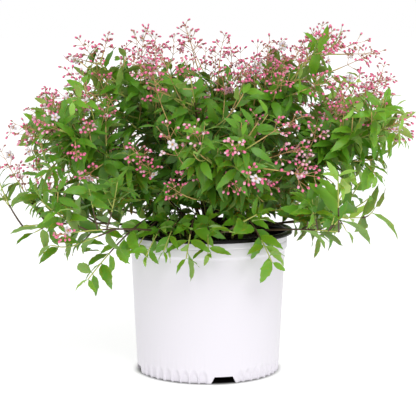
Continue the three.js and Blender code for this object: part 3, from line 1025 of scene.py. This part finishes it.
def leaf_shape(number):
    """A leaf one unit long along +X: toothed, folded up along its midrib, wavy and arching."""
    roll = dice(70 + number)
    arch, fold = lerp(0.3, 1.2, roll()), lerp(0.18, 0.5, roll())
    wave, twist = lerp(0.005, 0.02, roll()), lerp(-0.5, 0.5, roll())
    slim = lerp(0.19, 0.3, number / LEAF_SHAPES)
    steps = 2 * LEAF_TEETH + 1
    sections = [(-PETIOLE, 0.012, 1, 0.0), (0.0, 0.014, 1, 0.0)]
    sections += [(i / steps, slim * leaf_outline(i / steps), 0, i) for i in range(1, steps)]
    # Each section of the stalk and the blade has an edge, the midrib, the other edge and a corner underneath.
    corners = []
    spot, last = Vector((0, 0, 0)), -PETIOLE
    for along, half, is_stalk, i in sections:
        angle = arch * max(along, 0) ** 1.4
        forward = Vector((math.cos(angle), 0, -math.sin(angle)))
        normal = Vector((math.sin(angle), 0, math.cos(angle)))
        spot = spot + forward * (along - last)
        last = along
        turn = twist * max(along, 0)
        side = Vector((0, 1, 0)) * math.cos(turn) + normal * math.sin(turn)
        up = normal * math.cos(turn) - Vector((0, math.sin(turn), 0))
        tooth = 0 if is_stalk else (1 if i % 2 else -1)
        for lane in (-1, 0, 1):
            y = lane * half * (1 + 0.05 * tooth)
            h = fold * abs(y) * 0.7
            h += 0 if is_stalk else wave * math.sin(15 * along + number + lane) * abs(lane)
            h += half * (1 - abs(lane)) if is_stalk else 0
            ahead = 0.3 / steps * (tooth > 0) * abs(lane)
            corners.append(spot + side * y + up * h + forward * ahead)
        corners.append(spot - up * (half if is_stalk else LEAF_THICKNESS))
    tip = len(corners)
    corners.append(spot + Vector((math.cos(arch), 0, -math.sin(arch))) / steps)
    faces, finishes = [(0, 1, 2, 3)], [0]
    for a in range(0, tip, 4):
        for k in range(4):
            j = (k + 1) % 4
            here, ahead, across, beside = a + k, a + 4 + k, a + 4 + j, a + j
            if a == tip - 4:
                halves = [(here, tip, beside)]
            elif k % 2:
                halves = [(ahead, across, beside), (ahead, beside, here)]
            else:
                halves = [(here, ahead, across), (here, across, beside)]
            faces += halves
            finishes += [0 if k < 2 else 1] * len(halves)
    return Shape(corners, faces, finishes)


def ringed(profile, sides, zigzag=(0, 0)):
    """A closed shape of rings along +X, from (distance, radius, finish). A calyx's teeth zigzag one ring."""
    rings = profile[1:-1]
    corners = []
    for n, (x, radius, _) in enumerate(rings):
        shift = zigzag[1] if n == zigzag[0] else 0
        corners += [(x + shift * (1 if k % 2 else -1), radius * c, radius * s)
                    for k, (c, s) in enumerate(circle(sides))]
    last, ends = len(corners) - sides, len(corners)
    corners += [(profile[0][0], 0, 0), (profile[-1][0], 0, 0)]
    faces = skin(len(rings), sides) + [(ends, (k + 1) % sides, k) for k in range(sides)]
    faces += [(last + k, last + (k + 1) % sides, ends + 1) for k in range(sides)]
    finishes = [ring[2] for ring in (*rings[:-1], profile[0], rings[-1]) for _ in range(sides)]
    return Shape(corners, faces, finishes)


def bud_shape(calyx, bud):
    """A bud one unit long on its calyx, a cup with teeth."""
    cup = ((-0.02, 0, calyx), (0.06, 0.15, calyx))
    return ringed((*cup, (0.38, 0.25, bud), (0.64, 0.31, bud), (0.88, 0.18, bud), (1, 0, bud)), 6, (1, 0.08))


def flower_shape():
    """An open flower that faces +X, one unit from heart to tip: five petals round yellow stamens."""
    calyx, face, back, stamen = 0, 6, 7, 8
    corners = [corner for x, y, half in ((0.05, 0.1, 0.1), (0.2, 0.42, 0.32), (0.27, 0.76, 0.3))
               for corner in ((x, y, -half), (x - 0.05, y, 0), (x, y, half), (x - 0.1, y, 0))]
    corners.append((0.2, 1.0, 0))
    faces = skin(3, 4) + [(8 + k, 8 + (k + 1) % 4, 12) for k in range(4)] + [(3, 2, 1, 0)]
    petal = Shape(corners, faces, [face, face, back, back] * 3 + [back])
    cup = [(-0.35, 0, calyx), (-0.3, 0.1, calyx)]
    cup += [(0.02, 0.16, stamen), (0.1, 0.12, stamen), (0.16, 0, stamen)]
    thread = [(0, 0, face), (0.02, 0.02, face)]
    thread += [(0.26, 0.02, stamen), (0.3, 0.05, stamen), (0.38, 0, stamen)]
    tilt = Matrix.Rotation(0.5, 4, "Z")
    shapes = Heap()
    shapes.add(petal, [Matrix.Rotation(2 * math.pi * k / 5, 4, "X") for k in range(5)])
    shapes.add(ringed(cup, 6))
    shapes.add(ringed(thread, 3), [Matrix.Rotation(2 * math.pi * k / 8, 4, "X") @ tilt for k in range(8)])
    corners, loops, sizes, finishes = shapes.joined()
    return Shape(corners, np.split(loops, np.cumsum(sizes)[:-1]), finishes)


def rounded(profile):
    """A profile of (radius, height, rounding) with each corner rounded off, as (radius, height) pairs."""
    points, steps = [], 4
    for i, (r, z, rounding) in enumerate(profile):
        here = Vector((r, z))
        if not rounding or i in (0, len(profile) - 1):
            points.append(here)
            continue
        before, after = (Vector(profile[i + d][:2]) for d in (-1, 1))
        start = here + (before - here).normalized() * min(rounding, (before - here).length / 2)
        end = here + (after - here).normalized() * min(rounding, (after - here).length / 2)
        for s in range(steps + 1):
            t = s / steps
            points.append(start * (1 - t) ** 2 + here * (2 * t * (1 - t)) + end * t ** 2)
    return points


def wall_outside(z):
    """The outside radius of the pot's wall at a height below the collar."""
    return lerp(FOOT_RADIUS, NECK_RADIUS, z / NECK_TOP)


def flute_depth(turn, height):
    """How far the pot's foot is pressed in at a turn and a height: arched flutes, none by a drain notch."""
    settings = bpy.context.scene.deutzia_pot
    pitch = 360 / FLUTES
    side = ((turn / pitch) % 1) * 2 - 1
    arch = FLUTE_HEIGHT * math.sqrt(max(0, 1 - side * side))
    if height >= arch:
        return 0
    between = 360 / NOTCHES
    away = abs((turn - FIRST_NOTCH + between / 2) % between - between / 2)
    edge = min(1, (1 - abs(side)) / FLUTE_EDGE, (arch - height) / FLUTE_TOP)
    return settings.flute_depth / MM * share_of(away, *FLUTE_START) * edge


def make_pot():
    """The pot: white outside, black inside and over its rolled lip, with a groove, flutes and notches."""
    lip_foot, inner = POT_HEIGHT - LIP_HEIGHT, LIP_RADIUS - LIP_WIDTH
    profile = [(0, 0, 0), (FOOT_RADIUS - 2.2, 0, 0), (FOOT_RADIUS, 1.6, 1)]
    profile += [(wall_outside(z), z, 0) for z in (*range(4, FLUTE_HEIGHT + 2, 2), 60, 110, 160)]
    profile += [
        (NECK_RADIUS, NECK_TOP, 3),
        (COLLAR_RADIUS, COLLAR_FOOT, 2),
        (COLLAR_RADIUS, GROOVE_HEIGHT - GROOVE_WIDTH / 2, 0.8),
        (COLLAR_RADIUS - 0.9, GROOVE_HEIGHT, 0.8),
        (COLLAR_RADIUS, GROOVE_HEIGHT + GROOVE_WIDTH / 2, 0.8),
        (COLLAR_RADIUS, lip_foot - 0.2, 0.6),
    ]
    white = len(rounded(profile)) - 1
    profile += [
        (LIP_RADIUS - 0.6, lip_foot, 0.8),
        (LIP_RADIUS, lip_foot + 2, 1.5),
        (LIP_RADIUS - 0.3, POT_HEIGHT - 1.2, 2.4),
        (LIP_RADIUS - 3, POT_HEIGHT, 2.4),
        (inner + 3, POT_HEIGHT - 0.2, 2.4),
        (inner, POT_HEIGHT - 2.4, 2.2),
        (COLLAR_RADIUS - WALL - 0.6, lip_foot, 2),
        (NECK_RADIUS - WALL, NECK_TOP, 4),
        (FOOT_RADIUS - 4.2, FLOOR, 0),
        (0, FLOOR, 0),
    ]
    outline = [(z, radius, int(n >= white)) for n, (radius, z) in enumerate(rounded(profile))]
    shape = ringed(outline, POT_SIDES)
    shape.corners = np.roll(shape.corners, -1, 1)
    for corner in shape.corners:
        x, y, z = corner
        radius = math.hypot(x, y)
        if radius > FOOT_RADIUS - 3 and z < FLUTE_HEIGHT:
            pressed = (radius - flute_depth(math.degrees(math.atan2(y, x)), z)) / radius
            corner[:2] = x * pressed, y * pressed
    finishes = [white_polypropylene(), black_polypropylene()]
    pot = Heap(shape).piece("nursery_pot", finishes, "white_plastic", ["pot"])
    cut_notches(pot, finishes)
    pot.data.set_sharp_from_angle(angle=math.radians(POT_CREASE))


def cut_notches(pot, finishes):
    """Cuts the drain notches out of the pot's foot."""
    outline = ((-NOTCH_FOOT, -2), (NOTCH_FOOT, -2), (NOTCH_TOP, NOTCH_HEIGHT), (-NOTCH_TOP, NOTCH_HEIGHT))
    inside, outside = FOOT_RADIUS - NOTCH_REACH, FOOT_RADIUS + NOTCH_REACH
    corners = [(r, w / 2, z) for r in (inside, outside) for w, z in outline]
    faces = [(3, 2, 1, 0), (4, 5, 6, 7)] + [(k, (k + 1) % 4, (k + 1) % 4 + 4, k + 4) for k in range(4)]
    heap = Heap()
    turns = [math.radians(FIRST_NOTCH + i * 360 / NOTCHES) for i in range(NOTCHES)]
    # The inner end of each notch takes the black finish, painted shade for the dark inside of the notch.
    heap.add(Shape(corners, faces, [1] + [0] * 5), [Matrix.Rotation(turn, 4, "Z") for turn in turns])
    cutter = heap.piece("notch_cutter", finishes, "white_plastic")
    cut = pot.modifiers.new("notches", "BOOLEAN")
    cut.operation, cut.solver, cut.object = "DIFFERENCE", "EXACT", cutter
    bpy.context.view_layer.objects.active = pot
    with bpy.context.temp_override(object=pot, active_object=pot, selected_objects=[pot]):
        bpy.ops.object.modifier_apply(modifier=cut.name)
    bpy.data.objects.remove(cutter)


def mix_height(x, y):
    """The height of the lumpy top of the potting mix."""
    base = MIX_LEVEL + MIX_RISE * share_of(math.hypot(x, y), *MIX_SLOPE) + MIX_LUMPS
    return base + sum(noise.noise(Vector((x, y, layer)) / width) * high for width, layer, high in MIX_WAVES)


def make_mix():
    """The lumpy top of the potting mix, and the bark chips that lie on it."""
    rings, sides = 50, 150
    corners = []
    for n in range(rings + 1):
        radius = MIX_RADIUS * (n + 0.001) / rings
        for c, s in circle(sides):
            x, y = radius * c, radius * s
            corners.append((x, y, max(mix_height(x, y), MIX_LEVEL + 0.5)))
    under = len(corners)
    corners += [(MIX_FOOT_RADIUS * c, MIX_FOOT_RADIUS * s, MIX_FOOT) for c, s in circle(sides)]
    faces = [tuple(range(sides)), tuple(reversed(range(under, under + sides)))]
    faces += [(a, d, c, b) for a, b, c, d in skin(rings + 2, sides)]
    fill = Heap(Shape(corners, faces))
    fill.piece("mix_fill", [potting_mix_material()], "potting_mix", ["potting_mix"])
    make_chips()


def chip_shape(number):
    """A flat, ragged chip of bark about one unit across."""
    roll = dice(300 + number)
    count = 6
    rim = [(lerp(0.7, 1.1, roll()), 2 * math.pi * (k + 0.4 * roll()) / count) for k in range(count)]
    corners = [(r * math.cos(a) * 0.5, r * math.sin(a) * 0.32, z * lerp(0.7, 1.3, roll()))
               for z in (-0.1, 0.1) for r, a in rim]
    faces = [tuple(reversed(range(count))), tuple(range(count, 2 * count)), *skin(2, count)]
    return Shape(corners, faces)


def make_chips():
    """Bark chips strewn over the mix."""
    roll = dice(41)
    heap = Heap()
    shapes = [chip_shape(k) for k in range(CHIP_SHAPES)]
    for _ in range(CHIPS):
        radius, a = (MIX_RADIUS - 6) * math.sqrt(roll()), 2 * math.pi * roll()
        x, y = radius * math.cos(a), radius * math.sin(a)
        spin, tilt = 2 * math.pi * roll(), lerp(-0.5, 0.5, roll())
        turned = Matrix.Rotation(spin, 4, "Z") @ Matrix.Rotation(tilt, 4, "X")
        size = Matrix.Scale(lerp(*CHIP_SIZES, roll() ** 2), 4)
        place = Matrix.Translation(Vector((x, y, mix_height(x, y) + 0.25))) @ turned @ size
        heap.add(shapes[int(roll() * CHIP_SHAPES)], [place], int(roll() * 3))
    finishes = [bark_chip("dark_chip", "#21170F", "#352619"), bark_chip("brown_chip", "#3B291B", "#553C29"),
                bark_chip("pale_chip", "#574130", "#7C644B")]
    heap.piece("bark_chips", finishes, "potting_mix", smooth=False)


def stem_relief(seed):
    """The relief of a bare stem: ridges along it, low swellings at its old nodes, and a flare at its foot."""
    def relief(share, k):
        ridge = noise.noise(Vector((k * 1.7, share * 9, seed))) * 0.14
        node = 0.16 * max(0, math.cos(share * 2 * math.pi * 4)) ** 12
        return 1 + ridge + node + 0.35 * max(0, 1 - share / 0.06) ** 2
    return relief


def make_stems():
    """The bare stems with their bark, the stems over the lip, and the wood that the first spring from."""
    wood, green = Heap(), Heap()
    for stem in ring_stems():
        wood.add(tube(stem.path, 0, stem.bare, stem.radii, 10, 44, relief=stem_relief(stem.seed)))
    for stem in lip_stems("rim") + lip_stems("spray"):
        green.add(tube(stem.path, 0, stem.bare, stem.radii, 7, 14, twig_finish(0, 0.12, 1)))
    wood.piece("woody_stems", [old_bark()], "bark", [stem.name + "_stem" for stem in ring_stems()])
    young = [stem.name + "_stem" for stem in lip_stems("rim")]
    green.piece("rim_stems", twig_materials(), "green_shoot", young)
    make_root_crown()


def make_root_crown():
    """The gnarled low dome of wood at ground level, with the stubs of old pruned stems."""
    rings, sides = 14, 40
    corners = []
    for n in range(rings):
        for k in range(sides):
            out = heading(360 * k / sides, 90 * n / rings)
            lump = noise.noise(out * 2.2) * 0.09 + noise.noise(out * 6) * 0.06
            corners.append(HEART + out * (KNOB_RADIUS * (1 + min(lump, 0.02))))
    top = len(corners)
    corners.append(HEART + UP * KNOB_RADIUS)
    faces = [tuple(reversed(range(sides))), *skin(rings, sides)]
    faces += [(top - sides + k, top - sides + (k + 1) % sides, top) for k in range(sides)]
    heap = Heap(Shape(corners, faces))
    roll = dice(77)
    for _ in range(7):
        out = heading(360 * roll(), lerp(30, 70, roll()))
        root = HEART + out * (KNOB_RADIUS * 0.8)
        tip = root + out * lerp(10, 17, roll())
        stub = Bend(root, root.lerp(tip, 0.5), tip)
        heap.add(tube(stub, 0, 1, (3.4, 2.4), 9, 5, relief=stem_relief(roll() * 50)))
    heap.piece("root_crown", [old_bark()], "bark", ["root_knob"])


# The starts of the names of the masses that are joined, by the name of their group.
GROUPS = {
    "rim_and_middle": ("rim", "spray", "middle"),
    "back_skirt": ("skirt_1", "skirt_2", "skirt_3", "skirt_4"),
    "front_skirt": ("skirt_5", "skirt_6", "skirt_7", "skirt_8"),
    "back_shoulder": ("shoulder_1", "shoulder_2", "shoulder_3"),
    "front_shoulder": ("shoulder_4", "shoulder_5", "shoulder_6"),
    "upper": ("upper",),
}


def groups():
    """The masses of each group."""
    return {title: [mass for name, mass in masses().items() if name.startswith(names)]
            for title, names in GROUPS.items()}


def make_foliage():
    """Twigs and leaves, ring by ring."""
    shapes = [leaf_shape(number) for number in range(LEAF_SHAPES)]
    solids = {stem.name for stem in ring_stems() + lip_stems("rim")}
    for title, group in groups().items():
        leaves, twigs = Heap(), Heap()
        for number, shape in enumerate(shapes):
            chosen = [(place, 2 * tint) for mass in group
                      for place, kind, tint in mass.leaves if kind == number]
            if chosen:
                leaves.add(shape, *zip(*chosen))
        for mass in group:
            for *form, run in mass.twigs:
                twigs.add(tube(*form, twig_finish(*run)))
        nodes = [mass.stem.name + "_foliage" for mass in group if mass.stem.name in solids]
        blades = leaves.piece(title + "_leaves", leaf_materials(), "foliage", nodes)
        blades.data.set_sharp_from_angle(angle=math.radians(CREASE))
        twigs.piece(title + "_twigs", twig_materials(), "green_shoot")


def twig_finish(first, until, then):
    """A function that gives the tint at each share of a twig's length."""
    return lambda share: first if share < until else then


def make_blossom():
    """Flower stalks, buds and open flowers, ring by ring."""
    stalk = ringed(((0, 0, 0), (0.01, 1, 0), (0.99, 0.8, 0), (1, 0, 0)), 3)
    buds = {(calyx, tint): bud_shape(calyx, 2 + tint) for calyx in (0, 1) for tint in range(4)}
    flower = flower_shape()
    for title, group in groups().items():
        blossom, stalks = Heap(), Heap()
        for key, shape in buds.items():
            blossom.add(shape, [place for mass in group for place, *look in mass.buds if tuple(look) == key])
        blossom.add(flower, [place for mass in group for place in mass.flowers])
        stalks.add(stalk, [place for mass in group for place in mass.stalks], STALK[0])
        blossom.piece(title + "_blossom", blossom_materials(), "foliage")
        stalks.piece(title + "_stalks", twig_materials(), "foliage")


class DeutziaPot(bpy.types.PropertyGroup):
    """Sizes and colours of the pot."""

    white: bpy.props.FloatVectorProperty(name="Outside", description="Colour of the pot's outside",
                                         subtype="COLOR", min=0, max=1, default=linear("#E9E5ED")[:3])
    black: bpy.props.FloatVectorProperty(name="Inside", description="Colour of the pot's inside and lip",
                                         subtype="COLOR", min=0, max=1, default=linear("#0D090B")[:3])
    flute_depth: bpy.props.FloatProperty(name="Flute depth", description="How deep the flutes are pressed",
                                         subtype="DISTANCE", unit="LENGTH", min=0, max=0.005,
                                         default=0.0038)


class DeutziaStage(bpy.types.PropertyGroup):
    """The camera and the light of the studio."""

    distance: bpy.props.FloatProperty(name="Camera distance", description="From the pot's axis to the camera",
                                      unit="LENGTH", default=2.4)
    height: bpy.props.FloatProperty(name="Camera height", description="From the floor to the camera",
                                    unit="LENGTH", default=0.572)
    pitch: bpy.props.FloatProperty(name="Camera pitch", description="How far the camera looks down",
                                   subtype="ANGLE", default=math.radians(7.15))
    lens: bpy.props.FloatProperty(name="Lens", description="Focal length in millimetres", default=125.9)
    key: bpy.props.FloatProperty(name="Key light", description="Strength of the key light",
                                 min=0, default=1.0)
    fill: bpy.props.FloatProperty(name="Fill light", description="Strength of the low light from the front",
                                  min=0, default=0.4)
    room: bpy.props.FloatProperty(name="Room light", description="Strength of the room's light",
                                  min=0, default=0.64)
    floor_glow: bpy.props.FloatProperty(name="Floor glow", description="Light that the floor gives off",
                                        min=0, default=0.65)


def make_camera(settings):
    """The camera, level with the top of the shrub and looking a little down."""
    camera = put("camera", bpy.data.cameras.new("camera"))
    camera.data.lens = settings.lens
    camera.data.sensor_width = 36
    camera.location = (0, -settings.distance, settings.height)
    camera.rotation_euler = (math.pi / 2 - settings.pitch, 0, 0)
    bpy.context.scene.camera = camera


def make_light(name, source, strength, width):
    """A broad soft light that comes from a direction, from far off."""
    lamp = bpy.data.lights.new(name, "SUN")
    lamp.energy, lamp.angle = strength, math.radians(width)
    put(name, lamp).rotation_euler = (-source).to_track_quat("-Z", "Y").to_euler()


def make_world(settings):
    """A plain white room, whose light is softer than it looks."""
    world = bpy.data.worlds.new("studio")
    world.use_nodes = True
    tree = world.node_tree
    tree.nodes.clear()
    seen = add_node(tree, "ShaderNodeLightPath").outputs["Is Camera Ray"]
    strength = add_node(tree, "ShaderNodeMapRange", {"Value": seen}, to_min=settings.room, to_max=1.0)
    room = add_node(tree, "ShaderNodeBackground", {"Strength": strength.outputs[0]}, color=(1, 1, 1, 1))
    add_node(tree, "ShaderNodeOutputWorld", {"Surface": room.outputs[0]})
    bpy.context.scene.world = world


def make_floor(settings):
    """A wide plain floor that glows, painted light that washes out the plant's shadows, but for a painted
    contact shadow: a soft dark spot under the pot.
    """
    mesh = bpy.data.meshes.new("floor")
    around = ((-1, -1), (1, -1), (1, 1), (-1, 1))
    mesh.from_pydata([(x * FLOOR_HALF, y * FLOOR_HALF, 0) for x, y in around], [], [(0, 1, 2, 3)])
    material, tree, shader = material_of("studio_floor", roughness=1, specular_ior_level=0,
                                         emission_color=(1, 1, 1, 1))
    place = add_node(tree, "ShaderNodeTexCoord")
    distance = add_node(tree, "ShaderNodeVectorMath", {"Vector": place.outputs["Object"]}, operation="LENGTH")
    # The glow is painted light that keeps the floor white over the plant's shadows; the dark tone near the
    # pot's axis is a painted contact shadow.
    for socket, (start, end), (low, high) in (("Emission Strength", GLOW_RING, (0, settings.floor_glow)),
                                              ("Base Color", SHADOW_RING, SHADOW_TONES)):
        ring = add_node(tree, "ShaderNodeMapRange", {"Value": distance.outputs["Value"]}, from_min=start,
                        from_max=end, to_min=low, to_max=high, interpolation_type="SMOOTHSTEP")
        tree.links.new(ring.outputs[0], shader.inputs[socket])
    mesh.materials.append(material)
    put("floor", mesh)


class DEUTZIA_OT_stage(bpy.types.Operator):
    """Sets up the floor, the light and the camera"""

    bl_idname = "deutzia.stage"
    bl_label = "Stage"

    def execute(self, context):
        settings = context.scene.deutzia_stage
        make_camera(settings)
        make_floor(settings)
        for name, source, width in LIGHTS:
            make_light(name, heading(*source), getattr(settings, name), width)
        make_world(settings)
        context.scene.view_settings.view_transform = "Standard"
        return {"FINISHED"}


class DEUTZIA_OT_pot(bpy.types.Operator):
    """Moulds the pot"""

    bl_idname = "deutzia.pot"
    bl_label = "Pot"

    def execute(self, context):
        make_pot()
        return {"FINISHED"}


class DEUTZIA_OT_mix(bpy.types.Operator):
    """Fills the pot with potting mix and bark chips"""

    bl_idname = "deutzia.mix"
    bl_label = "Potting mix"

    def execute(self, context):
        make_mix()
        return {"FINISHED"}


class DEUTZIA_OT_stems(bpy.types.Operator):
    """Grows the woody stems, the rim's young shoots and the root's crown"""

    bl_idname = "deutzia.stems"
    bl_label = "Stems"

    def execute(self, context):
        make_stems()
        return {"FINISHED"}


class DEUTZIA_OT_foliage(bpy.types.Operator):
    """Grows twigs and leaves on from the stems"""

    bl_idname = "deutzia.foliage"
    bl_label = "Foliage"

    def execute(self, context):
        make_foliage()
        return {"FINISHED"}


class DEUTZIA_OT_blossom(bpy.types.Operator):
    """Sets buds and open flowers on their stalks"""

    bl_idname = "deutzia.blossom"
    bl_label = "Blossom"

    def execute(self, context):
        make_blossom()
        return {"FINISHED"}


class DEUTZIA_PT_panel(bpy.types.Panel):
    """Lists the steps that make the plant"""

    bl_idname = "DEUTZIA_PT_panel"
    bl_label = "Potted deutzia"
    bl_space_type = "VIEW_3D"
    bl_region_type = "UI"
    bl_category = "Deutzia"

    def draw(self, context):
        for step in STEPS:
            self.layout.operator(step.bl_idname)


STEPS = (DEUTZIA_OT_stage, DEUTZIA_OT_pot, DEUTZIA_OT_mix, DEUTZIA_OT_stems, DEUTZIA_OT_foliage,
         DEUTZIA_OT_blossom)
CLASSES = (DeutziaPot, DeutziaStage, *STEPS, DEUTZIA_PT_panel)


def register():
    """Registers the classes and the settings."""
    for each in CLASSES:
        bpy.utils.register_class(each)
    bpy.types.Scene.deutzia_pot = bpy.props.PointerProperty(type=DeutziaPot)
    bpy.types.Scene.deutzia_stage = bpy.props.PointerProperty(type=DeutziaStage)


def unregister():
    """Takes the settings and the classes out again."""
    del bpy.types.Scene.deutzia_stage
    del bpy.types.Scene.deutzia_pot
    for each in reversed(CLASSES):
        bpy.utils.unregister_class(each)


def main():
    """Makes everything in order."""
    register()
    for step in STEPS:
        group, name = step.bl_idname.split(".")
        getattr(getattr(bpy.ops, group), name)()


if __name__ == "__main__":
    main()
